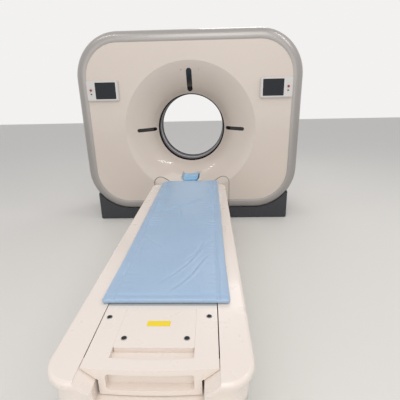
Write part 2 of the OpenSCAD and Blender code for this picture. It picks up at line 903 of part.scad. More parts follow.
// Drum: plate with a belt rim, a hub and round weight-saving holes
module rotor_drum() color(grey) {
    hole_r = 26;
    hole_dr = 78;
    difference() {
        about_bore(drum_y) tube(drum_r, rotor_r, drum_t);
        for (a = [0:ring_holes - 1]) about_bore(drum_y - past)
            rotate(360 * (a + 0.5) / ring_holes) translate([drum_r + hole_dr, 0, 0])
                cylinder(r = hole_r, h = drum_t + 2 * past);
    }
    about_bore(drum_y - rim_band_w) tube(rotor_r - rim_band_w, rotor_r, rim_band_w);
    about_bore(hub_y) tube(drum_r, hub_r, hub_len);
}

// X-ray tube housing: a capped cylinder with its port and two cable sockets
module xray_tube() color(steel) {
    socket_r = 26;
    along_y(0, drum_y - tube_len, iso_z + focus_r) {
        difference() {
            cylinder(r = tube_r, h = tube_len);
            for (z = [2 * tube_cap, tube_len - 3 * tube_cap])
                translate([0, 0, z]) tube(tube_r - tube_groove, tube_r + past, tube_cap);
        }
        for (x = [-1, 1])
            translate([x * tube_r / 2, 0, -tube_cap]) cylinder(r = socket_r, h = tube_cap);
    }
    translate([-tube_r / 2, scan_y - tube_r / 2, iso_z + focus_r - tube_r - tube_cap])
        cube([tube_r, tube_r, 2 * tube_cap]);
}

// Collimator box under the tube, with a fan-shaped passage for the beam
module collimator() color(dark) difference() {
    z0 = iso_z + drum_r + collimator_rise;
    z1 = iso_z + focus_r - tube_r - tube_cap - seat;
    fan0 = (iso_z + focus_r - z0) * tan(fan_half);
    fan1 = (iso_z + focus_r - z1) * tan(fan_half);
    half = fan0 + collimator_wall;
    translate([-half, scan_y - detector_w / 2, z0])
        cube([2 * half, drum_y - scan_y + detector_w / 2, z1 - z0]);
    slab(scan_y - scan_window_w / 2, scan_window_w) polygon([
        [-fan1, z1 + past],
        [fan1, z1 + past],
        [fan0, z0 - past],
        [-fan0, z0 - past]
    ]);
}

// Finned box on the drum's left, right or a diagonal
module drum_box(angle, r0, r_size, h, t, fins) about_bore(drum_y - t) rotate(-angle)
    difference() {
        translate([r0, -h / 2, 0]) cube([r_size, h, t]);
        for (i = [1:fins])
            translate([r0 + r_size - fin_depth, (i / (fins + 1) - 1 / 2) * h - fin_gap / 2, -past])
                cube([fin_depth + past, fin_gap, t + 2 * past]);
    }

module hv_generator() color("slategray")
    drum_box(180, race_r + box_gap, box_r, box_h, box_t, 0);

module power_unit() color("lightslategray")
    drum_box(0, race_r + box_gap, box_r, box_h, box_t, 7);

module tube_cooler() color("gainsboro")
    drum_box(45, stator_in_r + cooler_gap, cooler_w, cooler_w, cooler_t, 11);

module counterweight() color("dimgray")
    drum_box(135, stator_in_r + cooler_gap, cooler_w, cooler_w, cooler_t, 0);

// Detector: an arc about the focal spot, slotted into its modules
module detector_arc() color("darkslategray") {
    slot = 3;
    slot_depth = 16;
    depth = drum_y - scan_y + detector_w / 2;
    along_y(0, scan_y - detector_w / 2, iso_z + focus_r) rotate(90 - fan_half) difference() {
        rotate_extrude(angle = 2 * fan_half, $fn = large_fn)
            translate([detector_d, 0]) square([detector_t, depth]);
        for (i = [1:module_count - 1]) rotate(2 * fan_half * i / module_count)
            translate([detector_d - past, -slot / 2, -past])
                cube([slot_depth + past, slot, detector_w - detector_foot_t + past]);
    }
}

// Slip ring disc with concentric tracks
module slip_ring() color("goldenrod") difference() {
    about_bore(slip_y) tube(hub_r - slip_lap, slip_r, slip_t);
    for (i = [0:track_count - 1]) about_bore(slip_y + slip_t - track_depth)
        tube(track_r(i) - track_w / 2, track_r(i) + track_w / 2, track_depth + past);
}

// Brush block on the stator, with two brushes on each track
module brush_block() color(dark) {
    h = 120;
    t = 40;
    edge = 8;
    back_y = slip_y + slip_t + run_gap;
    x1 = slip_r + run_gap;
    x2 = stator_r - edge;
    translate([-x2, back_y, iso_z - h / 2]) cube([x2 - track_r(0) + track_w, t, h]);
    translate([-x2, stator_y + stator_t, iso_z - h / 2])
        cube([x2 - x1, back_y - stator_y - stator_t, h]);
    for (i = [0:track_count - 1], z = [-1, 1])
        translate([-track_r(i) - track_w / 4, back_y - run_gap - track_depth + brush_gap,
                   iso_z + z * h / 4 - brush_h / 2])
            cube([track_w / 2, run_gap + track_depth, brush_h]);
}

// Flat belt round the drum's rim and the pulley; t is how far it lies out
module belt_outline(t) {
    d = [pulley_x, pulley_drop];
    span = norm(d);
    lean = asin((rotor_r - pulley_r) / span);
    base = atan2(d[1], d[0]);
    circle(rotor_r + t, $fn = large_fn);
    translate(d) circle(pulley_r + t);
    polygon([
        for (c = [[0, rotor_r, -1], [1, pulley_r, -1], [1, pulley_r, 1], [0, rotor_r, 1]])
            let (a = base + c[2] * (90 - lean))
            c[0] * d + (c[1] + t) * [cos(a), sin(a)]
    ]);
}

module drive_belt() color(black) about_bore(drum_y) linear_extrude(drum_t) difference() {
    belt_outline(belt_gap + belt_t);
    belt_outline(belt_gap);
}

// Flanged pulley and its shaft, which runs in the motor
module drive_pulley() color(steel) along_y(pulley_x, pulley_y0, pulley_z) {
    len = drum_t + 2 * flange_gap;
    cylinder(r = pulley_r, h = len + 2 * flange_t);
    for (z = [0, len + flange_t])
        translate([0, 0, z]) cylinder(r = pulley_r + belt_t + flange_h, h = flange_t);
    translate([0, 0, -motor_gap - shaft_len])
        cylinder(r = shaft_r, h = shaft_len + motor_gap + past);
}

// Ribbed motor on a foot that stands on the base frame
module drive_motor() color("darkslategray") {
    ribs = 9;
    rib_gap = 7;
    rib_depth = 5;
    foot_w = 150;
    foot_len = motor_len - 2 * motor_foot_inset;
    difference() {
        union() {
            difference() {
                along_y(pulley_x, motor_y1 - motor_len, pulley_z) cylinder(r = motor_r, h = motor_len);
                for (i = [1:ribs]) along_y(pulley_x, motor_y1 - i * motor_len / (ribs + 2), pulley_z)
                    tube(motor_r - rib_depth, motor_r + past, rib_gap);
            }
            translate([pulley_x - foot_w / 2, motor_y1 - motor_foot_inset - foot_len, beam_z1])
                cube([foot_w, foot_len, pulley_z - beam_z1]);
        }
        along_y(pulley_x, motor_y1 - shaft_len - past, pulley_z)
            cylinder(r = shaft_r + shaft_gap, h = shaft_len + 2 * past);
    }
}

// Plan of the couch's body, drawn in by t
module body_plan(t) round_rect(2 * (body_hw - t), body_len - 2 * t, body_corner_r - t);

// Couch base: anchored floor plate
module couch_base() color(steel) translate([0, shroud_mid_y, 0]) difference() {
    linear_extrude(couch_base_t) body_plan(2 * shroud_step - shroud_t);
    for (x = [-1, 1], y = [-1, 1])
        translate([x * couch_anchor_dx / 2, y * couch_anchor_dy / 2, -past])
            cylinder(r = couch_anchor_r, h = couch_base_t + 2 * past);
}

// Shroud number n, counted outward from the lowest, standing at height z0
module shroud(n, z0) color([0.86, 0.85, 0.83])
    translate([0, shroud_mid_y, z0]) linear_extrude(shroud_h) difference() {
        body_plan((2 - n) * shroud_step);
        body_plan((2 - n) * shroud_step + shroud_t);
    }

module lower_shroud() shroud(0, couch_base_t);

module mid_shroud() shroud(1, plate_z0 - run_gap - shroud_h);

module upper_shroud() shroud(2, plate_z0 - shroud_h);

// Square tube number n of each lifting column, counted inward from the sleeve
module column_tube(n, z0, z1)
    for (y = [-1, 1]) translate([0, shroud_mid_y + y * column_dy / 2, z0])
        linear_extrude(z1 - z0) difference() {
            round_rect(tube_w(n), tube_w(n), column_r);
            square(tube_in(n), center = true);
        }

// Plate with a square window, at both columns
module column_plate(w, len, hole, z0, t)
    for (y = [-1, 1]) translate([0, shroud_mid_y + y * column_dy / 2, z0])
        linear_extrude(t) difference() {
            square([w, len], center = true);
            square(hole, center = true);
        }

module column_sleeves() color(steel) {
    plate_w = sleeve_w + 2 * sleeve_flange;
    column_tube(0, couch_base_t, bar_z0 - run_gap);
    column_plate(plate_w, plate_w, tube_in(0), couch_base_t, column_t);
}

// Middle tubes with the cross bars that carry the middle shroud
module column_middles() color(steel) {
    bar_len = 2 * (body_hw - shroud_step - shroud_t - seat);
    column_tube(1, couch_base_t + run_gap, bar_z0 + bar_t);
    column_plate(bar_len, bar_w, tube_in(1), bar_z0, bar_t);
}

module column_rams() color(steel) {
    column_tube(2, couch_base_t + 2 * run_gap, plate_z0);
    column_plate(sleeve_w, sleeve_w, tube_in(2), plate_z0 - bar_t, bar_t);
}

// Couch frame: floor plate, two side beams, cross members and rail brackets
module couch_frame() color(grey) {
    brackets = 6;
    len = frame_y1 - frame_y0;
    pitch = (len - 2 * bracket_inset - bracket_len) / (brackets - 1);
    translate([-frame_hw, frame_y0, plate_z0]) cube([2 * frame_hw, len, plate_t]);
    for (side = [0, 1]) mirror([side, 0, 0]) {
        translate([beam_in, frame_y0, plate_z1])
            cube([cradle_w / 2 - beam_in, len, frame_z1 - plate_z1]);
        for (i = [0:brackets - 1])
            translate([cradle_w / 2, frame_y0 + bracket_inset + i * pitch, frame_z1 - bracket_h])
                cube([bracket_reach, bracket_len, bracket_h]);
    }
    for (i = [0:2]) translate([-beam_in, frame_y1 - cross_inset - i * cross_pitch, plate_z1])
        cube([2 * beam_in, cross_len, frame_z1 - plate_z1 - cross_drop]);
}

// Ground guide rails on the side beams
module guide_rails() color("silver") for (side = [0, 1]) mirror([side, 0, 0])
    translate([guide_x, frame_y0, frame_z1]) cube([guide_w, frame_y1 - frame_y0, guide_h]);

// Outline of a side rail's section: x outward, with a rounded, overhanging lip
module rail_outline() {
    x1 = couch_w / 2 - lip_r;
    translate([rail_x0, table_z - lip_h]) square([x1 - rail_x0, lip_h]);
    translate([rail_x0, frame_z1]) square([body_hw - rail_x0, rail_h]);
    translate([x1, table_z - lip_h]) square([lip_r, lip_h - lip_r]);
    translate([x1, table_z - lip_r]) intersection() {
        circle(lip_r, $fn = small_fn);
        square(lip_r);
    }
}

// Section of a side rail, open below
module rail_section() difference() {
    rail_outline();
    translate([rail_x0 + rail_t, frame_z1 - past])
        square([body_hw - rail_x0 - 2 * rail_t, rail_h + past - rail_t]);
}

// Turns the outer part of the rail's section about a corner of radius r
module rail_corner(r) rotate_extrude(angle = 90) intersection() {
    translate([r - couch_w / 2, 0]) rail_section();
    translate([0, frame_z1 - past]) square([r, rail_h + 2 * past]);
}

// Straight end of a rail, from place x0 out to its round corner of radius r
module rail_end(x0, r) translate([couch_w / 2 - r, r, 0]) rotate([90, 0, -90])
    linear_extrude(couch_w / 2 - r - x0) intersection() {
        translate([r - couch_w / 2, 0]) rail_outline();
        translate([0, frame_z1 - past]) square([r, rail_h + 2 * past]);
    }

// Foot end of a rail, which slopes down to the carriage's nose
module rail_facet() {
    difference() {
        translate([0, foot_y, 0]) rail_end(channel_hw, rail_foot_r);
        slab(foot_y - past, rail_foot_r + 2 * past) polygon([
            [channel_hw - past, frame_z1],
            [channel_hw, frame_z1],
            [rail_x0, table_z - run_gap],
            [rail_x0, table_z + past],
            [channel_hw - past, table_z + past]
        ]);
    }
    slab(foot_y, body_inset + past) intersection() {
        polygon([
            [channel_hw, frame_z1],
            [rail_x0, table_z - run_gap],
            [rail_x0, table_z - lip_h],
            [facet_x, frame_z1]
        ]);
        translate([channel_hw, frame_z1]) square([rail_x0 - channel_hw, rail_h - lip_r]);
    }
}

// Side rail with rounded corners in plan and a skirt below its lip
module rail_right() color(white) {
    slab(foot_y + rail_foot_r, rail_len - rail_foot_r - head_corner_r) rail_section();
    rail_facet();
    translate([couch_w / 2 - rail_foot_r, foot_y + rail_foot_r, 0])
        rotate(-90) rail_corner(rail_foot_r);
    translate([couch_w / 2 - head_corner_r, foot_y + rail_len - head_corner_r, 0])
        rail_corner(head_corner_r);
    translate([0, foot_y + rail_len, 0]) mirror([0, 1, 0]) rail_end(rail_x0, head_corner_r);
    slab(frame_y0 + seat, frame_y1 - frame_y0 - seat)
        translate([body_hw - shroud_t, plate_z0 + seat])
            square([shroud_t, frame_z1 - plate_z0 - seat + shroud_t]);
}

module rail_left() left() rail_right();

// Hollow cover under the rails' foot, open where the carriage's nose passes
module foot_cover() color(white) difference() {
    foot_cover_block(0, -couch_w / 2, plate_z0 + seat);
    translate([-channel_hw, foot_y, plate_z1])
        cube([2 * channel_hw, foot_cover_len, rail_h + nose_h]);
    for (side = [0, 1]) mirror([side, 0, 0])
        foot_cover_block(shroud_t, channel_hw + shroud_t, plate_z1);
}

// Foot end of the couch's body drawn in by t, from place x0 and height z0 up
module foot_cover_block(t, x0, z0) intersection() {
    translate([0, shroud_mid_y, z0]) linear_extrude(frame_z1 - seat - z0 + t) body_plan(t);
    translate([x0, foot_y, 0]) cube([couch_w, foot_cover_len - seat - t, table_z]);
}

// Section of the carriage, down to height z0 in its middle
module carriage_section(z0, hw) polygon([
    [-cradle_w / 2, table_z],
    [-cradle_w / 2, table_z - run_gap],
    [-hw, z0 < frame_z1 ? frame_z1 : z0],
    [-hw, z0],
    [hw, z0],
    [hw, z0 < frame_z1 ? frame_z1 : z0],
    [cradle_w / 2, table_z - run_gap],
    [cradle_w / 2, table_z]
]);

// Outline of the access recess, its foot edge a shallow arc
module access_outline() intersection() {
    translate([-access_hw, access_y0]) square([2 * access_hw, access_len]);
    translate([0, access_y0 + access_arc_r]) circle(access_arc_r, $fn = large_fn);
}

// Carriage at the cradle's foot end, with its nose and two finger recesses
module carriage() color(white) difference() {
    intersection() {
        union() {
            slab(nose_y, nose_t) carriage_section(nose_z0, nose_hw);
            slab(nose_y, carriage_len) carriage_section(table_z - carriage_t, channel_hw);
        }
        translate([0, nose_y + nose_arc_r, nose_z0 - past])
            cylinder(r = nose_arc_r, h = nose_h + 2 * past, $fn = large_fn);
    }
    translate([0, 0, table_z - access_depth]) linear_extrude(access_depth + past) access_outline();
    slab(nose_y - past, nose_t - grip_wall + past)
        translate([0, nose_z0 + grip_rise + grip_h / 2]) round_rect(2 * grip_hw, grip_h, grip_r);
}

// Lid of the recess, flush with the carriage's top
module access_plate() color(white) {
    lid_len = access_len - finger_gap;
    lid_w = 2 * (access_hw - seat);
    translate([0, access_y0 + access_len - seat - lid_len / 2, table_z - access_depth + seat])
        difference() {
            linear_extrude(access_depth - seat) round_rect(lid_w, lid_len, lid_r);
            translate([0, 0, -past]) linear_extrude(access_depth - seat - lid_wall + past)
                round_rect(lid_w - 2 * lid_wall, lid_len - 2 * lid_wall, lid_r - lid_wall);
        }
}

// Cradle: flat top, curved belly, with bearing blocks over the guide rails
module cradle() color([0.80, 0.80, 0.79]) {
    sag = cradle_mid_t - cradle_edge_t;
    belly_r = (beam_in * beam_in + sag * sag) / (2 * sag);
    slab(carriage_y1, cradle_len - carriage_len) {
        translate([-cradle_w / 2, table_z - cradle_edge_t]) square([cradle_w, cradle_edge_t]);
        intersection() {
            translate([0, table_z - cradle_mid_t + belly_r]) circle(belly_r, $fn = belly_fn);
            translate([-beam_in, table_z - cradle_mid_t]) square([2 * beam_in, cradle_mid_t]);
        }
    }
    for (side = [0, 1], i = [0:blocks - 1]) mirror([side, 0, 0])
        slab(carriage_y1 + block_inset + i * block_pitch, block_len) difference() {
            translate([guide_x - block_wall, frame_z1 + block_lift])
                square([guide_w + 2 * block_wall, table_z - cradle_edge_t - frame_z1 - block_lift]);
            translate([guide_x - slide_gap, frame_z1])
                square([guide_w + 2 * slide_gap, guide_h + seat]);
        }
}

// Mattress, with rounded corners and one clipped corner at the head end
module mattress() color(blue)
    translate([mattress_x, carriage_y1 + mattress_len / 2, table_z + seat])
        linear_extrude(mattress_t) difference() {
            round_rect(mattress_w, mattress_len, mattress_corner_r);
            translate([-mattress_w / 2, mattress_len / 2]) rotate(45)
                square(mattress_clip, center = true);
        }

// Head holder: a trough behind the mattress, on a bracket at the cradle's end
module head_holder() color(grey) {
    slab(holder_y0, holder_len) translate([head_x, head_z]) difference() {
        circle((holder_w + holder_t) / 2);
        circle((holder_w - holder_t) / 2);
        translate([-holder_w, holder_top]) square([2 * holder_w, 2 * holder_w]);
    }
    slab(nose_y + cradle_len, holder_bracket_len) difference() {
        translate([head_x - holder_w / 4, table_z - cradle_mid_t + holder_t])
            square([holder_w / 2, 2 * cradle_edge_t]);
        translate([head_x, head_z]) circle(holder_w / 2);
    }
}

// Head pad: fills the trough, hollowed along its top
module head_pad() color([0.45, 0.68, 0.85]) {
    pad_r = (holder_w - holder_t) / 2 - seat;
    pad_z = pad_t - pad_r;
    slab(holder_y0 + pad_inset, holder_len - pad_short) translate([head_x, head_z]) difference() {
        circle(pad_r);
        translate([0, pad_z + hollow_r - hollow_depth]) circle(hollow_r);
        translate([-holder_w, pad_z]) square([2 * holder_w, 2 * holder_w]);
    }
}

base_frame();
stator_frame();
bearing_outer_race();
brush_block();
drive_motor();
drive_belt();
front_cover();
front_cover_insert();
laser_windows();
rear_cover();
front_rim();
rear_rim();
side_cover_left();
side_cover_right();
top_cover();
plinth_front();
plinth_rear();
plinth_left();
plinth_right();
bore_trim_front();
bore_liner();
scan_window();
bore_trim_rear();
panel_housing_left();
panel_housing_right();
touch_screen_left();
touch_screen_right();
stop_button_left();
stop_button_right();
panel_key_left();
panel_key_right();
rotor_drum();
bearing_inner_race();
xray_tube();
collimator();
hv_generator();
power_unit();
tube_cooler();
counterweight();
detector_arc();
slip_ring();
drive_pulley();
couch_base();
lower_shroud();
column_sleeves();
mid_shroud();
column_middles();
upper_shroud();
column_rams();
couch_frame();
guide_rails();
rail_left();
rail_right();
foot_cover();
cradle();
carriage();
access_plate();
mattress();
head_holder();
head_pad();
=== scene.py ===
import math

import bmesh
import bpy
import numpy as np
from mathutils import Matrix, Vector


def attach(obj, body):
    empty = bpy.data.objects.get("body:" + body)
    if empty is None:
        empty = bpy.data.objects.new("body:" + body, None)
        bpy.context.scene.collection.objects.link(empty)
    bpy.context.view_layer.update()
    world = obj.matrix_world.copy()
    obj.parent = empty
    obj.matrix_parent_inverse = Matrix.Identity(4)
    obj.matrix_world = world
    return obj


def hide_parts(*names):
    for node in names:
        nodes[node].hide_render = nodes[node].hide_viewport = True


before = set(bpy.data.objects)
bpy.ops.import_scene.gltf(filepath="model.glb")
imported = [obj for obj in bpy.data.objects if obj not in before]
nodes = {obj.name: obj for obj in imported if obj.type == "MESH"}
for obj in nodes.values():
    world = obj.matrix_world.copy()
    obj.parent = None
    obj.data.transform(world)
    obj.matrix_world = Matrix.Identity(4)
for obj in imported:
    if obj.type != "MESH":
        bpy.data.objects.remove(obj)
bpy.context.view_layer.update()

scene = bpy.context.scene

# Camera
# A wide lens held at eye height beyond the couch's foot end, tipped down at
# the couch. Its place and lens come from lines fitted to the photograph.
EYE = Vector((0.20265, -2.4690, 1.3801))
YAW, PITCH, ROLL = math.radians(1.955), math.radians(18.82), math.radians(-1.25)
FOCAL_PIXELS, PHOTO_PIXELS = 315.9, 400
SENSOR_MM = 36
level = Vector((-math.sin(YAW), math.cos(YAW), 0))
side = Vector((math.cos(YAW), math.sin(YAW), 0))
ahead = level * math.cos(PITCH) - Vector((0, 0, 1)) * math.sin(PITCH)
above = Vector((0, 0, 1)) * math.cos(PITCH) + level * math.sin(PITCH)
right = side * math.cos(ROLL) + above * math.sin(ROLL)
up = above * math.cos(ROLL) - side * math.sin(ROLL)
camera_data = bpy.data.cameras.new("camera")
camera_data.sensor_width = SENSOR_MM
camera_data.lens = SENSOR_MM * FOCAL_PIXELS / PHOTO_PIXELS
camera_data.clip_end = 60
camera = bpy.data.objects.new("camera", camera_data)
camera.matrix_world = Matrix.Translation(EYE) @ Matrix((right, up, -ahead)).transposed().to_4x4()
scene.collection.objects.link(camera)
scene.camera = camera
scene.view_settings.view_transform = "Standard"

# Studio
# A plain pale floor and pale surroundings. The light is soft and even, as
# under ceiling panels: a wide lamp overhead, a wall of light behind the
# camera, a weak lamp behind the gantry, and two long tubes whose reflections
# streak the dish's lower lip.


def linear(code):
    """sRGB hex colour to linear RGBA: each channel below 0.04045 is divided by
    12.92, any other is ((c + 0.055) / 1.055) to the power 2.4."""
    c = np.array([int(code[i:i + 2], 16) for i in (0, 2, 4)]) / 255
    c = np.where(c <= 0.04045, c / 12.92, ((c + 0.055) / 1.055) ** 2.4)
    return (*c.tolist(), 1.0)


def add(tree, kind, links=(), **settings):
    """Adds one node. settings go to its sockets by name, or to its properties;
    links are (socket name, output socket) pairs into it."""
    node = tree.nodes.new(kind)
    for name, value in settings.items():
        socket = name.replace("_", " ")
        if socket in node.inputs:
            node.inputs[socket].default_value = value
        else:
            setattr(node, name, value)
    for name, output in links:
        tree.links.new(output, node.inputs[name])
    return node


world = bpy.data.worlds.new("surroundings")
scene.world = world
world.use_nodes = True
tree = world.node_tree
tree.nodes.clear()
path = add(tree, "ShaderNodeLightPath")
seen = add(tree, "ShaderNodeMath", [(0, path.outputs["Is Camera Ray"]), (1, path.outputs["Is Glossy Ray"])],
           operation="MAXIMUM")
seen = add(tree, "ShaderNodeMath", [(0, seen.outputs[0]), (1, path.outputs["Is Transmission Ray"])],
           operation="MAXIMUM")
even = add(tree, "ShaderNodeBackground", Color=linear("FAFAFF"), Strength=0.57)
pale = add(tree, "ShaderNodeBackground", Color=linear("F2F1F0"), Strength=1.0)
mix = add(tree, "ShaderNodeMixShader", [(0, seen.outputs[0]), (1, even.outputs[0]), (2, pale.outputs[0])])
add(tree, "ShaderNodeOutputWorld", [("Surface", mix.outputs[0])])

# Each lamp: name, place, what it faces, direction of its long side, size, watts.
for name, place, target, run, size, watts in (
        ("ceiling", (0.4, -3.6, 4.8), (0, -0.4, 0.5), (1, 0, 0), (3.4, 3.4), 90),
        ("front", (-0.4, -6.5, 2.3), (0, 0.8, 0.9), (1, 0, 0), (9.0, 4.4), 92),
        ("far ceiling", (0.7, 3.4, 3.4), (0.1, -0.6, 0.6), (1, 0, 0), (1.4, 1.4), 20),
        ("right tube", (3.18, -0.53, 4.57), (-0.30, 1.03, 0.63), (-0.85, 0.83, 0), (2.4, 0.14), 26),
        ("left tube", (-2.15, -0.29, 4.63), (0.19, 1.03, 0.57), (-0.39, 0.15, 0), (1.7, 0.12), 12)):
    lamp = bpy.data.lights.new(name, "AREA")
    lamp.shape, lamp.energy = "RECTANGLE", watts
    lamp.size, lamp.size_y = size
    lamp.color = linear("FFFCFA")[:3]
    holder = bpy.data.objects.new(name, lamp)
    back = (Vector(place) - Vector(target)).normalized()
    across = back.cross(Vector(run)).normalized()
    turn = Matrix((across.cross(back), across, back)).transposed().to_4x4()
    holder.matrix_world = Matrix.Translation(place) @ turn
    scene.collection.objects.link(holder)

floor_mesh = bpy.data.meshes.new("floor")
floor_half = 14
floor_mesh.from_pydata([(-floor_half, -floor_half, 0), (floor_half, -floor_half, 0),
                        (floor_half, floor_half, 0), (-floor_half, floor_half, 0)], [], [(0, 1, 2, 3)])
floor = bpy.data.objects.new("floor", floor_mesh)
scene.collection.objects.link(floor)
vinyl = bpy.data.materials.new("studio floor")
vinyl.use_nodes = True
tree = vinyl.node_tree
tree.nodes.clear()
matt = add(tree, "ShaderNodeBsdfPrincipled", Roughness=0.6)
matt.inputs["Base Color"].default_value = linear("E4E2DC")
add(tree, "ShaderNodeOutputMaterial", [("Surface", matt.outputs[0])])
floor_mesh.materials.append(vinyl)

# White covers
# The gantry's front, rear, side and top covers: moulded polyurethane sprayed
# with a warm-white satin lacquer, hung on the frame's rails and screwed from
# behind, so that only their seams show.


def satin_lacquer(name, colour, drift, roughness=0.34, peel_mm=6.0, coat=0.25, shine=0.5,
                  coat_roughness=0.1):
    """Sprayed lacquer on a moulding: its colour drifts a little towards a second
    tone over half a metre, handling smears vary its gloss, and a fine orange
    peel breaks up its reflections."""
    drift_mm, smear_mm, peel_depth = 588, 111, 0.00002
    mat = bpy.data.materials.new(name)
    mat.use_nodes = True
    tree = mat.node_tree
    tree.nodes.clear()
    place = add(tree, "ShaderNodeTexCoord").outputs["Object"]
    cloud = add(tree, "ShaderNodeTexNoise", [("Vector", place)], Scale=1000 / drift_mm, Detail=3.0,
                Roughness=0.55)
    tone = add(tree, "ShaderNodeMix", [(0, cloud.outputs["Fac"])], data_type="RGBA")
    tone.inputs[6].default_value = linear(colour)
    tone.inputs[7].default_value = linear(drift)
    peel = add(tree, "ShaderNodeTexNoise", [("Vector", place)], Scale=1000 / peel_mm, Detail=1.0)
    bump = add(tree, "ShaderNodeBump", [("Height", peel.outputs["Fac"])], Strength=0.35,
               Distance=peel_depth)
    smear = add(tree, "ShaderNodeTexNoise", [("Vector", place)], Scale=1000 / smear_mm, Detail=4.0)
    rough = add(tree, "ShaderNodeMapRange", [("Value", smear.outputs["Fac"])])
    rough.inputs["To Min"].default_value = roughness - 0.05
    rough.inputs["To Max"].default_value = roughness + 0.06
    shell = add(tree, "ShaderNodeBsdfPrincipled",
                [("Base Color", tone.outputs[2]), ("Roughness", rough.outputs[0]),
                 ("Normal", bump.outputs[0])],
                IOR=1.5, Specular_IOR_Level=shine, Coat_Weight=coat, Coat_Roughness=coat_roughness)
    add(tree, "ShaderNodeOutputMaterial", [("Surface", shell.outputs[0])])
    return mat


def dress(mat, *names):
    """Gives CAD nodes a material in every slot of their meshes."""
    for name in names:
        mesh = nodes[name].data
        mesh.materials.clear()
        mesh.materials.append(mat)


cover_white = satin_lacquer("warm white lacquer", "D4C9BE", "CEC2B6", coat=0.6, coat_roughness=0.07)
dress(cover_white, "front_cover", "front_cover_insert", "rear_cover", "side_cover_left",
      "side_cover_right", "top_cover")

# Insert seam shadow
# A thin black strip is painted shadow in the open seam round the removable
# lower insert of the front cover, and follows the cover into the dish.


def seam_line(side):
    """Edge of the insert as points (x, z), side being -1 or 1: up the side at x
    413 mm to z 436 mm, a quarter circle of 60 mm radius, then a half cosine
    from z 495 mm down to 429 mm between x 353 mm and 200 mm."""
    edge_x, low_z, turn_z, turn_r = 413, 150, 436, 60
    fall_run, end_z, half_drop = 153, 429, 33
    turn_x = edge_x - turn_r
    turn = np.linspace(0, np.pi / 2, 13)[1:-1]
    fall = np.linspace(0, 1, 29)
    x = np.concatenate((np.full(20, edge_x), turn_x + turn_r * np.cos(turn), turn_x - fall_run * fall))
    z = np.concatenate((np.linspace(low_z, turn_z, 20), turn_z + turn_r * np.sin(turn),
                        end_z + half_drop * (1 + np.cos(np.pi * fall))))
    return side * x / 1000, z / 1000


def dish_depth(x, z):
    """Depth of the cover behind its face at (x, z): 0 outside the radius 684 mm
    round the bore's axis, and inside it an arc of 546 mm radius, down to 258 mm
    at radius 370 mm. The arc's centre lies on its chord's perpendicular."""
    axis_z, edge_r, throat_r, throat_depth, arc_r = 1.002, 0.684, 0.370, 0.258, 0.546
    r = np.hypot(x, z - axis_z)
    run = edge_r - throat_r
    chord = math.hypot(run, throat_depth)
    rise = math.sqrt(arc_r ** 2 - chord ** 2 / 4)
    centre_r = (edge_r + throat_r) / 2 + rise * throat_depth / chord
    centre_y = throat_depth / 2 + rise * run / chord
    return np.where(r < edge_r, centre_y - np.sqrt(arc_r ** 2 - (r - centre_r) ** 2), 0)


def seam_shadow_strip(side):
    """Points and faces of the painted seam shadow along one seam, side being -1
    or 1. Four rows run beside the line, 2.2 and 1.4 mm to each side of it; the
    inner two stand 0.6 mm proud of the others. The faces look forwards on both sides."""
    x, z = seam_line(side)
    run = np.stack((np.gradient(x), np.gradient(z)), 1)
    run /= np.linalg.norm(run, axis=1, keepdims=True)
    face_y = 0.9098
    across = np.array((-0.0022, -0.0014, 0.0014, 0.0022))
    proud = np.array((0.0, 0.0006, 0.0006, 0.0))
    row_x = x[:, None] - run[:, 1:] * across
    row_z = z[:, None] + run[:, :1] * across
    row_y = face_y + dish_depth(row_x, row_z) - proud
    corner = (4 * np.arange(len(x) - 1)[:, None] + np.arange(3)).ravel()
    faces = np.stack((corner, corner + 1, corner + 5, corner + 4), 1)
    return np.stack((row_x, row_y, row_z), -1).reshape(-1, 3), faces[:, ::-side]


left_points, left_faces = seam_shadow_strip(-1)
right_points, right_faces = seam_shadow_strip(1)
seam_shadow_mesh = bpy.data.meshes.new("painted_seam_shadow")
seam_shadow_mesh.from_pydata(np.concatenate((left_points, right_points)).tolist(), [],
                      np.concatenate((left_faces, right_faces + len(left_points))).tolist())
seam_shadow_mesh.shade_smooth()
seam_shadow = bpy.data.objects.new("painted_seam_shadow", seam_shadow_mesh)
scene.collection.objects.link(seam_shadow)
seam_shadow.modifiers.new("thickness", "SOLIDIFY").thickness = 0.0006
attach(seam_shadow, "root")

# Silver rims
# The two rims that frame the covers: the same mouldings in a metallic silver
# lacquer, whose fine aluminium flake gives a soft, wide highlight.


def flake_lacquer(name, colour, roughness=0.36, flake_mm=1.2):
    """Metallic paint: small cells of slightly different brightness under a
    clear coat."""
    mat = bpy.data.materials.new(name)
    mat.use_nodes = True
    tree = mat.node_tree
    tree.nodes.clear()
    place = add(tree, "ShaderNodeTexCoord").outputs["Object"]
    flake = add(tree, "ShaderNodeTexVoronoi", [("Vector", place)], Scale=1000 / flake_mm)
    light = add(tree, "ShaderNodeHueSaturation", Color=linear(colour))
    shade = add(tree, "ShaderNodeMapRange", [("Value", flake.outputs["Distance"])])
    shade.inputs["To Min"].default_value = 1.06
    shade.inputs["To Max"].default_value = 0.9
    tree.links.new(shade.outputs[0], light.inputs["Value"])
    paint = add(tree, "ShaderNodeBsdfPrincipled", [("Base Color", light.outputs[0])],
                Metallic=0.45, Roughness=roughness, Coat_Weight=0.35, Coat_Roughness=0.12)
    add(tree, "ShaderNodeOutputMaterial", [("Surface", paint.outputs[0])])
    return mat


dress(flake_lacquer("silver lacquer", "A39F9B"), "front_rim", "rear_rim")

# Plinth
# Dark grey skirt of thermoformed ABS with a leather-like grain, clipped to
# the base frame.


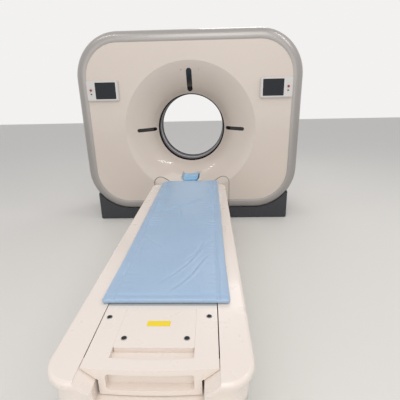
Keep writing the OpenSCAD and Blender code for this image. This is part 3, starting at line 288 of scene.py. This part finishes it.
def grained_abs(name, colour, roughness=0.55, grain_mm=2.5, depth=0.0004, shine=0.5):
    """Thermoformed or moulded ABS: a matt colour with a fine cellular grain
    and faint scuffs."""
    scuff_mm = 71.4
    mat = bpy.data.materials.new(name)
    mat.use_nodes = True
    tree = mat.node_tree
    tree.nodes.clear()
    place = add(tree, "ShaderNodeTexCoord").outputs["Object"]
    grain = add(tree, "ShaderNodeTexVoronoi", [("Vector", place)], Scale=1000 / grain_mm)
    bump = add(tree, "ShaderNodeBump", [("Height", grain.outputs["Distance"])], Strength=0.3, Distance=depth)
    scuff = add(tree, "ShaderNodeTexNoise", [("Vector", place)], Scale=1000 / scuff_mm, Detail=6.0,
                Roughness=0.7)
    tone = add(tree, "ShaderNodeHueSaturation", Color=linear(colour))
    shade = add(tree, "ShaderNodeMapRange", [("Value", scuff.outputs["Fac"])])
    shade.inputs["To Min"].default_value = 0.88
    shade.inputs["To Max"].default_value = 1.14
    tree.links.new(shade.outputs[0], tone.inputs["Value"])
    skin = add(tree, "ShaderNodeBsdfPrincipled",
               [("Base Color", tone.outputs[0]), ("Normal", bump.outputs[0])], Roughness=roughness,
               Specular_IOR_Level=shine)
    add(tree, "ShaderNodeOutputMaterial", [("Surface", skin.outputs[0])])
    return mat


dress(grained_abs("dark plinth ABS", "333539"), "plinth_front", "plinth_rear", "plinth_left", "plinth_right")

# Bore
# Black trim rings at both mouths of the bore, a grey liner tube of glass
# fibre between them, the thin window ring that the X-rays pass, and the three
# black alignment windows in the dish.
dress(grained_abs("black trim ABS", "0C0C0E", roughness=0.8, grain_mm=1.6, depth=0.0002, shine=0.08),
      "bore_trim_front", "bore_trim_rear", "brush_block")
# The seam's painted shadow strip takes the black trim's material.
seam_shadow_mesh.materials.append(nodes["bore_trim_front"].data.materials[0])
dress(grained_abs("grey liner", "5C585D", roughness=0.6, grain_mm=3.0, depth=0.0002, shine=0.2), "bore_liner")
dress(satin_lacquer("window film", "8C8E92", "84868A", roughness=0.25), "scan_window")
dress(satin_lacquer("black acrylic", "0E0E10", "121214", roughness=0.12, coat=0.6), "laser_windows")

# Control panels
# A light-grey housing each side of the dish carries a touch screen behind
# dark glass, a red mushroom stop button and a small dark key.
dress(satin_lacquer("panel grey lacquer", "D2CFCB", "CBC8C4", roughness=0.3), "panel_housing_left",
      "panel_housing_right")
dress(satin_lacquer("screen glass", "171B22", "14181E", roughness=0.2, coat=0.0, shine=0.25),
      "touch_screen_left", "touch_screen_right")
dress(satin_lacquer("stop red", "9C1A18", "921715", roughness=0.3), "stop_button_left", "stop_button_right")
dress(grained_abs("key rubber", "26262A", grain_mm=1.0), "panel_key_left", "panel_key_right")

# Drum and drive
# Inside the covers: machined and painted parts on the rotating drum, its
# ring bearing and slip ring, and the motor that turns it by a belt.


def bare_metal(name, colour, roughness=0.32, lay_mm=1.5):
    """Machined or cast metal: a fine grain that varies the roughness."""
    mat = bpy.data.materials.new(name)
    mat.use_nodes = True
    tree = mat.node_tree
    tree.nodes.clear()
    place = add(tree, "ShaderNodeTexCoord").outputs["Object"]
    lay = add(tree, "ShaderNodeTexNoise", [("Vector", place)], Scale=1000 / lay_mm, Detail=2.0)
    rough = add(tree, "ShaderNodeMapRange", [("Value", lay.outputs["Fac"])])
    rough.inputs["To Min"].default_value = roughness - 0.08
    rough.inputs["To Max"].default_value = roughness + 0.1
    bump = add(tree, "ShaderNodeBump", [("Height", lay.outputs["Fac"])], Strength=0.2, Distance=0.0001)
    metal = add(tree, "ShaderNodeBsdfPrincipled",
                [("Roughness", rough.outputs[0]), ("Normal", bump.outputs[0])], Metallic=1.0)
    metal.inputs["Base Color"].default_value = linear(colour)
    add(tree, "ShaderNodeOutputMaterial", [("Surface", metal.outputs[0])])
    return mat


dress(bare_metal("ground steel", "C4C5C7"), "bearing_outer_race", "bearing_inner_race", "guide_rails",
      "drive_pulley")
dress(bare_metal("machined aluminium", "C2C3C4", roughness=0.4), "rotor_drum", "tube_cooler", "xray_tube")
dress(bare_metal("brass tracks", "B8924A", roughness=0.3), "slip_ring")
dress(bare_metal("black anodised aluminium", "2A2D30", roughness=0.45), "detector_arc")
dress(satin_lacquer("frame grey paint", "8B8D90", "848689", roughness=0.45), "base_frame", "stator_frame",
      "couch_frame")
dress(satin_lacquer("slate paint", "4D545B", "474E55", roughness=0.4), "drive_motor", "hv_generator",
      "power_unit")
dress(satin_lacquer("dark lead paint", "3D3D41", "38383C", roughness=0.5), "collimator", "counterweight")
dress(grained_abs("belt rubber", "141414", roughness=0.7), "drive_belt")

# Couch column
# Anchored base plate, telescoping steel tubes and the three light-grey
# shrouds that nest over them.
dress(satin_lacquer("column grey paint", "909295", "8A8C8F", roughness=0.4), "couch_base",
      "column_sleeves", "column_middles", "column_rams")
dress(grained_abs("shroud grey ABS", "C6C4BE", roughness=0.5, grain_mm=2.0, depth=0.0002),
      "lower_shroud", "mid_shroud", "upper_shroud")

# Couch covers
# Side rails, foot cover and carriage: thick polyurethane mouldings in a
# glossier warm white than the gantry's, as hands and sheets slide over them.
couch_white = satin_lacquer("glossy warm white", "EDE3DA", "E8DDD2", roughness=0.28, coat=0.4)
dress(couch_white, "rail_left", "rail_right", "foot_cover", "carriage", "access_plate")

# Cradle
# Sandwich of carbon fibre over foam with a smooth pale grey gel coat; the
# head holder plugs into its end.
dress(satin_lacquer("cradle gel coat", "BDBDBA", "B6B6B3", roughness=0.3), "cradle", "head_holder")

# Mattress
# A thin foam mattress in a sewn, light-blue vinyl cover. It lies loose on the
# cradle, a little off centre: the cover puckers along its two long seams, is
# creased diagonally by use, and is turned under at the foot end.


def inflate(name, node, shrink, voxel, cap):
    """A cushion from a CAD solid. Each side is drawn in by `shrink`, the shell is
    remeshed and blown up as cloth, and no point moves further than `cap`; the
    underside stays on what carries it."""
    weld, pressure, frames = 0.00002, 4, 20
    mesh = nodes[node].data.copy()
    shell = bmesh.new()
    shell.from_mesh(mesh)
    bmesh.ops.remove_doubles(shell, verts=shell.verts, dist=weld)
    shell.to_mesh(mesh)
    shell.free()
    points = np.array([v.co for v in mesh.vertices])
    low, high = points.min(0), points.max(0)
    middle = (low + high) / 2
    points = middle + (points - middle) * (1 - shrink / ((high - low) / 2))
    mesh.vertices.foreach_set("co", points.ravel())
    piece = bpy.data.objects.new(name, mesh)
    scene.collection.objects.link(piece)
    piece.modifiers.new("remesh", "REMESH").voxel_size = voxel
    settle(piece)
    start = np.array([v.co for v in piece.data.vertices])
    cloth = piece.modifiers.new("cloth", "CLOTH")
    cloth.settings.use_pressure = True
    cloth.settings.uniform_pressure_force = pressure
    cloth.settings.effector_weights.gravity = 0
    cloth.point_cache.frame_start, cloth.point_cache.frame_end = 1, frames
    for step in range(1, frames + 1):
        scene.frame_set(step)
    settle(piece)
    scene.frame_set(1)
    moved = np.array([v.co for v in piece.data.vertices]) - start
    far = np.linalg.norm(moved, axis=1, keepdims=True)
    grown = start + moved * np.minimum(1, cap / np.maximum(far, 1e-9))
    grown[:, 2] = np.maximum(grown[:, 2], low[2])
    piece.data.vertices.foreach_set("co", grown.ravel())
    piece.modifiers.new("smooth", "SUBSURF").levels = 1
    settle(piece)
    piece.data.materials.clear()
    piece.data.shade_smooth()
    return piece


def settle(piece):
    """Applies a piece's modifiers to its mesh."""
    done = bpy.data.meshes.new_from_object(piece.evaluated_get(bpy.context.evaluated_depsgraph_get()))
    piece.modifiers.clear()
    piece.data = done


def sewn_vinyl(name, colour, drift, grain_mm=1.4):
    """Padded vinyl: a fine embossed grain, soft shallow wrinkles about 30 mm
    apart, and a colour and gloss that drift over the cushion."""
    drift_mm, wrinkle_mm, smear_mm = 200, 31.25, 55.6
    mat = bpy.data.materials.new(name)
    mat.use_nodes = True
    tree = mat.node_tree
    tree.nodes.clear()
    place = add(tree, "ShaderNodeTexCoord").outputs["Object"]
    cloud = add(tree, "ShaderNodeTexNoise", [("Vector", place)], Scale=1000 / drift_mm, Detail=3.0)
    tone = add(tree, "ShaderNodeMix", [(0, cloud.outputs["Fac"])], data_type="RGBA")
    tone.inputs[6].default_value = linear(colour)
    tone.inputs[7].default_value = linear(drift)
    grain = add(tree, "ShaderNodeTexVoronoi", [("Vector", place)], Scale=1000 / grain_mm)
    fine = add(tree, "ShaderNodeBump", [("Height", grain.outputs["Distance"])], Strength=0.25,
               Distance=0.0003)
    fold = add(tree, "ShaderNodeTexNoise", [("Vector", place)], Scale=1000 / wrinkle_mm, Detail=2.0,
               Distortion=1.4)
    soft = add(tree, "ShaderNodeBump", [("Height", fold.outputs["Fac"]), ("Normal", fine.outputs[0])],
               Strength=0.45, Distance=0.003)
    smear = add(tree, "ShaderNodeTexNoise", [("Vector", place)], Scale=1000 / smear_mm, Detail=5.0)
    rough = add(tree, "ShaderNodeMapRange", [("Value", smear.outputs["Fac"])])
    rough.inputs["To Min"].default_value = 0.26
    rough.inputs["To Max"].default_value = 0.4
    skin = add(tree, "ShaderNodeBsdfPrincipled",
               [("Base Color", tone.outputs[2]), ("Roughness", rough.outputs[0]),
                ("Normal", soft.outputs[0])],
               Coat_Weight=0.15, Coat_Roughness=0.3)
    add(tree, "ShaderNodeOutputMaterial", [("Surface", skin.outputs[0])])
    return mat


def crease(x, y, start_x, start_y, end_x, end_y, depth, width):
    """Height of one crease: a groove that bends 12 mm to either side of the line
    from start to end, with a ridge beside it, both as exp(-(d / width)^2), and
    fading as exp(-(out / 30 mm)^2) past its ends."""
    along = np.array([end_x - start_x, end_y - start_y])
    length = np.linalg.norm(along)
    s = np.clip(((x - start_x) * along[0] + (y - start_y) * along[1]) / length ** 2, 0, 1)
    bend = 0.012 * np.sin(s * 5)
    d = ((x - start_x) * along[1] - (y - start_y) * along[0]) / length - bend
    out = np.hypot(x - start_x - s * along[0], y - start_y - s * along[1]) - np.abs(d)
    fade = np.exp(-(out / 0.03) ** 2) * np.sin(np.pi * np.clip(s, 0.02, 0.98)) ** 0.5
    return fade * depth * (0.8 * np.exp(-((d - width) / width) ** 2) - np.exp(-(d / width) ** 2))


# Each crease: start x and y, end x and y, depth and width.
creases = ((-0.18, -0.34, 0.17, -0.06, 0.00768, 0.010), (0.02, -1.31, 0.20, -1.00, 0.00432, 0.009),
           (-0.01, -1.22, 0.20, -0.86, 0.00384, 0.008), (0.07, -1.05, 0.20, -0.78, 0.00336, 0.007),
           (-0.21, -0.70, -0.06, -0.93, 0.00336, 0.008), (-0.23, -1.24, -0.17, -0.84, 0.00288, 0.008),
           (-0.14, -0.52, -0.02, -0.60, 0.00240, 0.006), (-0.03, -0.50, 0.00, -0.28, 0.00240, 0.007))


def sew_mattress(points):
    """Height added to the top side: a crown of 3 mm, 4.2 mm deep seams 50 mm in
    from both long edges, puckers exp(-d / 45 mm) sin(2 pi y / 41 mm) on their
    inner sides, the creases, and a turned-under fold at the foot."""
    x, y, z = points.T
    mid_x, half_x, side_z, foot_y = 0.013, 0.272, 0.553, -1.362
    top = np.clip((z - side_z) / 0.008, 0, 1)
    top = top * top * (3 - 2 * top)
    across = (x - mid_x) / half_x
    lift = 0.003 * (1 - across ** 4)
    for seam_x, phase in ((-0.207, 0.0), (0.233, 1.9)):
        d = x - seam_x - 0.0025 * np.sin(y / 0.061 + phase)
        lift -= 0.0042 * np.exp(-(d / 0.0055) ** 2)
        wave = np.sin(y * 2 * np.pi / 0.041 + 2.1 * np.sin(y / 0.047 + phase) + 25 * d)
        wave = wave * (0.4 + 0.8 * np.sin(y / 0.11 + 2 * phase) ** 2)
        wave = wave * (1.0 + 0.7 * np.tanh((y + 0.7) / 0.2))
        inner = np.abs(x - mid_x) < 0.22
        reach = np.where(inner, 0.045, 0.015)
        lift += np.where(inner, 0.0026, 0.0008) * wave * np.exp(-np.abs(d) / reach)
    for line in creases:
        lift += crease(x, y, *line)
    lift += 0.0022 * np.exp(-((y - foot_y) / 0.010) ** 2)
    lift -= 0.0028 * np.exp(-((y - foot_y - 0.028) / 0.007) ** 2)
    z += top * lift
    x += 0.006 * across ** 5 * np.exp(-((y - foot_y + 0.013) / 0.25) ** 2)
    return points


mattress = inflate("padded_mattress", "mattress", np.array([0.001, 0.002, 0.0035]), 0.0095, 0.005)
points = sew_mattress(np.array([v.co for v in mattress.data.vertices]))
mattress.data.vertices.foreach_set("co", points.ravel())
mattress.data.materials.append(sewn_vinyl("light blue vinyl", "A3BED5", "9AB4D0"))
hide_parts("mattress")
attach(mattress, "cradle")

# Head pad
# A thick foam pad in brighter blue vinyl, pushed crookedly into the head
# holder: its right side stands up and its middle is hollowed by use.


def slump_pad(points):
    """The top rises 10 mm to the right and falls 10 mm to the left of its middle,
    with a 4 mm hollow and a 4 mm hump, and a waist seam runs half way up. Below
    601 mm the pad stays within 96.3 mm of the trough's axis, and at its foot
    end it bulges 9 mm and flares over the trough's edge."""
    x, y, z = points.T
    mid_x, mid_y, half_x, low_z, waist_z = 0.012, 0.640, 0.09, 0.548, 0.582
    trough_z, trough_r, trough_top = 0.640, 0.0963, 0.601
    bulge_y, edge_y, edge_z = 0.532, 0.5164, 0.5695
    height = np.clip((z - low_z) / 0.05, 0, 1)
    across = (x - mid_x) / half_x
    lift = 0.010 * across + 0.002 * np.sin(y / 0.021 + 2 * across) * (1 - across ** 2)
    lift -= 0.004 * np.exp(-((x + 0.02) / 0.03) ** 2 - ((y - mid_y) / 0.07) ** 2)
    lift += 0.004 * np.exp(-((x - 0.095) / 0.025) ** 2)
    z += height * lift
    pinch = 1 - 0.02 * np.exp(-((z - waist_z - 0.012 * across) / 0.004) ** 2)
    x[:] = mid_x + (x - mid_x) * pinch
    y[:] = mid_y + (y - mid_y) * (1 - (1 - pinch) * 0.7)
    keep = np.where(z < trough_top, np.minimum(1, trough_r / np.hypot(x - mid_x, z - trough_z)), 1)
    x[:] = mid_x + (x - mid_x) * keep
    z[:] = trough_z + (z - trough_z) * keep
    y -= 0.009 * np.clip((bulge_y - y) / 0.010, 0, 1) * np.clip((z - 0.566) / 0.004, 0, 1)
    flare = np.clip((edge_y - y) / 0.0025, 0, 1) * np.clip((z - 0.568) / 0.004, 0, 1)
    x[:] = mid_x + (x - mid_x) * (1 + 0.075 * flare)
    z[:] = np.where(flare > 0, np.maximum(trough_z + (z - trough_z) * (1 + 0.06 * flare), edge_z), z)
    x += 0.10 * (x - mid_x) * np.clip((z - trough_top - 0.0005) / 0.004, 0, 1)
    return points


head_pad = inflate("padded_head_pad", "head_pad", np.array([0.006, 0.006, 0.006]), 0.005, 0.006)
points = slump_pad(np.array([v.co for v in head_pad.data.vertices]))
head_pad.data.vertices.foreach_set("co", points.ravel())
head_pad.data.materials.append(sewn_vinyl("brighter blue vinyl", "8ABCDD", "7EB2D6"))
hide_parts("head_pad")
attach(head_pad, "cradle")

# Screws
# The carriage and its lid are held down by stainless socket screws, each set
# in a pressed cup washer.


def lathed(name, profile, places, flutes=0, facing_front=False):
    """Turned pieces: the profile's (radius, height) pairs in mm, which start and
    end on the axis, are swept round in 36 steps at every place. From pair
    `flutes` on the radius varies as 1 + 0.14 cos 6a, which gives a screw's
    six-sided socket."""
    radius, height = np.array(profile)[:, :, None].transpose(1, 0, 2) / 1000
    angles = np.arange(36) * 2 * np.pi / 36
    fluted = (np.arange(len(profile))[:, None] >= flutes) * (flutes > 0)
    ring = radius * (1 + 0.14 * np.cos(6 * angles) * fluted)
    u, v, w = ring * np.cos(angles), ring * np.sin(angles), np.broadcast_to(height, ring.shape)
    turned = np.stack((u, -w, v) if facing_front else (u, v, w), -1)
    points = np.concatenate((turned[0, :1], turned[1:-1].reshape(-1, 3), turned[-1, :1]))
    rings = 1 + np.arange(len(points) - 2).reshape(-1, 36)
    after = np.roll(rings, -1, axis=1)
    walls = np.stack((rings[:-1], after[:-1], after[1:], rings[1:]), -1).reshape(-1, 4)
    bottom = np.stack((np.zeros_like(angles, int), after[0], rings[0]), -1)
    top = np.stack((np.full_like(angles, len(points) - 1, int), rings[-1], after[-1]), -1)
    faces = []
    for number in range(len(places)):
        for group in (bottom, top, walls):
            faces += (group + number * len(points)).tolist()
    mesh = bpy.data.meshes.new(name)
    mesh.from_pydata((np.array(places)[:, None] + points).reshape(-1, 3).tolist(), [], faces)
    mesh.shade_smooth()
    piece = bpy.data.objects.new(name, mesh)
    scene.collection.objects.link(piece)
    return piece


screw_places = ((-0.200, -1.445, 0.5451), (0.194, -1.440, 0.5451), (-0.114, -1.558, 0.5451),
                (0.114, -1.558, 0.5451))
screws = lathed("carriage_screws",
                ((0, 0), (11.5, 0), (11.2, 0.9), (10.2, 1.9), (8.8, 1.9), (7.6, 0.3), (5.6, 0.3), (5.2, 1.1),
                 (4.2, 1.5), (2.9, 1.5), (2.6, 0.4), (0, 0.4)), screw_places, flutes=9)
screws.data.materials.append(bare_metal("stainless steel", "96979A", roughness=0.28))
# The second material, dark steel on every face within 8.3 mm of a screw's axis (the head, the cup's floor and
# the foot of its inner slope), is painted shade for the dark cups and sockets.
screws.data.materials.append(bare_metal("painted cup shade", "3A3836", roughness=0.4))
cup_shade_r = 0.0083
centres = np.array([face.center[:2] for face in screws.data.polygons])
nearest = np.linalg.norm(centres[:, None] - np.array(screw_places)[:, :2], axis=2).min(1)
screws.data.polygons.foreach_set("material_index", (nearest < cup_shade_r).astype(np.int32))
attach(screws, "cradle")

# Pinholes
# Two small black sensor windows in bezels, left and right of the top slot.
# Each is a plug let 3 mm into the dish's slope, facing straight forwards.
pinholes = lathed("sensor_windows", ((0, -3), (4.2, -3), (4.2, 0.4), (3.4, 0.8), (2.8, 0.3), (0, 0.3)),
                  ((-0.0787, 0.9420, 1.6013), (0.0999, 0.9403, 1.6018)), facing_front=True)
pinholes.data.materials.append(satin_lacquer("black lens", "101012", "151517", roughness=0.15))
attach(pinholes, "root")

# Blank label
# A plain yellow vinyl sticker on the lid of the carriage, its corners just
# starting to lift.
columns, rows = 25, 11
middle_x, middle_y, half_x, half_y, lid_z = 0.001, -1.4815, 0.045, 0.0145, 0.5452
u, v = np.meshgrid(np.linspace(-1, 1, columns), np.linspace(-1, 1, rows))
lifted = 0.0004 * np.abs(u) ** 8 * np.abs(v) ** 6
round_off = 1 - 0.02 * np.abs(u * v) ** 6
sheet = np.stack((middle_x + half_x * u * round_off, middle_y + half_y * v * round_off, lid_z + lifted), -1)
corner = (columns * np.arange(rows - 1)[:, None] + np.arange(columns - 1)).ravel()
label_mesh = bpy.data.meshes.new("blank_label")
label_mesh.from_pydata(sheet.reshape(-1, 3).tolist(), [],
                       np.stack((corner, corner + 1, corner + columns + 1, corner + columns), 1).tolist())
label = bpy.data.objects.new("blank_label", label_mesh)
scene.collection.objects.link(label)
thick = label.modifiers.new("thickness", "SOLIDIFY")
thick.thickness, thick.offset = 0.0002, 1
label_mesh.materials.append(satin_lacquer("yellow sticker", "F4D81E", "EDD01A", roughness=0.4, peel_mm=8))
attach(label, "cradle")
